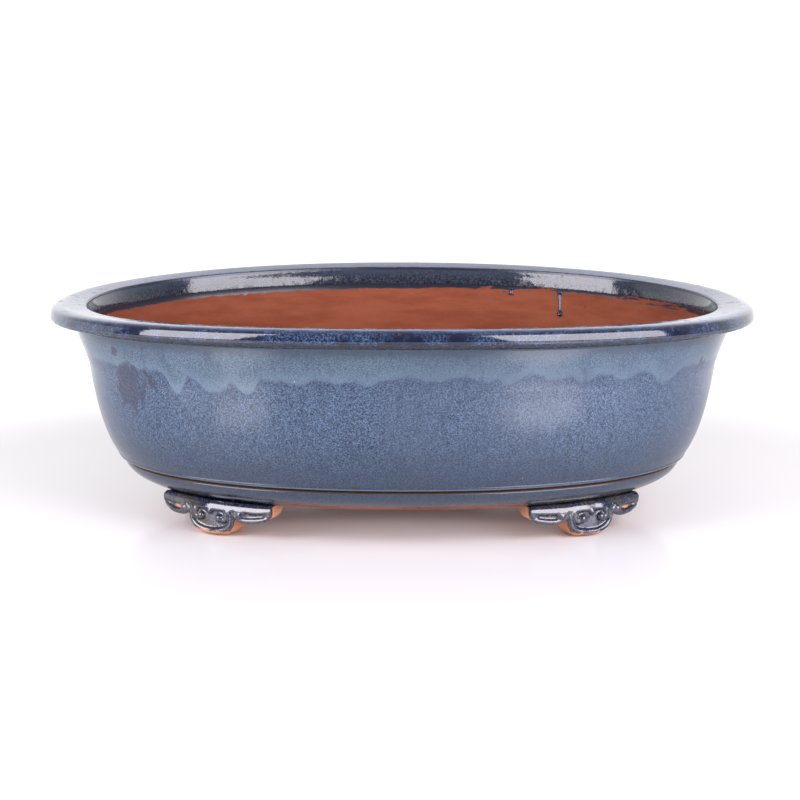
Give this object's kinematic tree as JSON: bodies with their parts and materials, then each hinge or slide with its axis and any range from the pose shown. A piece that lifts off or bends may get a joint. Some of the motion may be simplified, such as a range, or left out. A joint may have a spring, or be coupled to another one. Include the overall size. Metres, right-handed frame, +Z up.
{
  "type": "bonsai pot",
  "caption": "Oval bonsai pot with a broad lip, grooved base band and cloud-scroll feet; glazed outside, bare clay inside, open on top with drainage in its floor.",
  "frame": {"origin": "on the ground plane under the middle of the pot", "axes": "+Z up, +X along the long side, -Y towards the front"},
  "size_m": [0.51, 0.4, 0.158],
  "materials": {
    "lip_glaze": "thick dark navy glaze with fine blue speckle, very glossy",
    "body_glaze": "mottled grey-blue glaze with fine light and iron-dark speckle, satin gloss",
    "bare_clay": "unglazed fired terracotta with dark specks, matt",
    "foot_glaze": "pooled near-black blue glaze, very glossy, breaking to tan clay on the lower edges"
  },
  "bodies": {
    "root": {"rim_lip": "lip_glaze", "wall": "body_glaze", "base_band": "body_glaze", "floor_slab": "bare_clay", "inside_seam_coil": "bare_clay", "front_left_foot": "foot_glaze", "front_right_foot": "foot_glaze", "rear_left_foot": "foot_glaze", "rear_right_foot": "foot_glaze"}
  },
  "joints": []
}
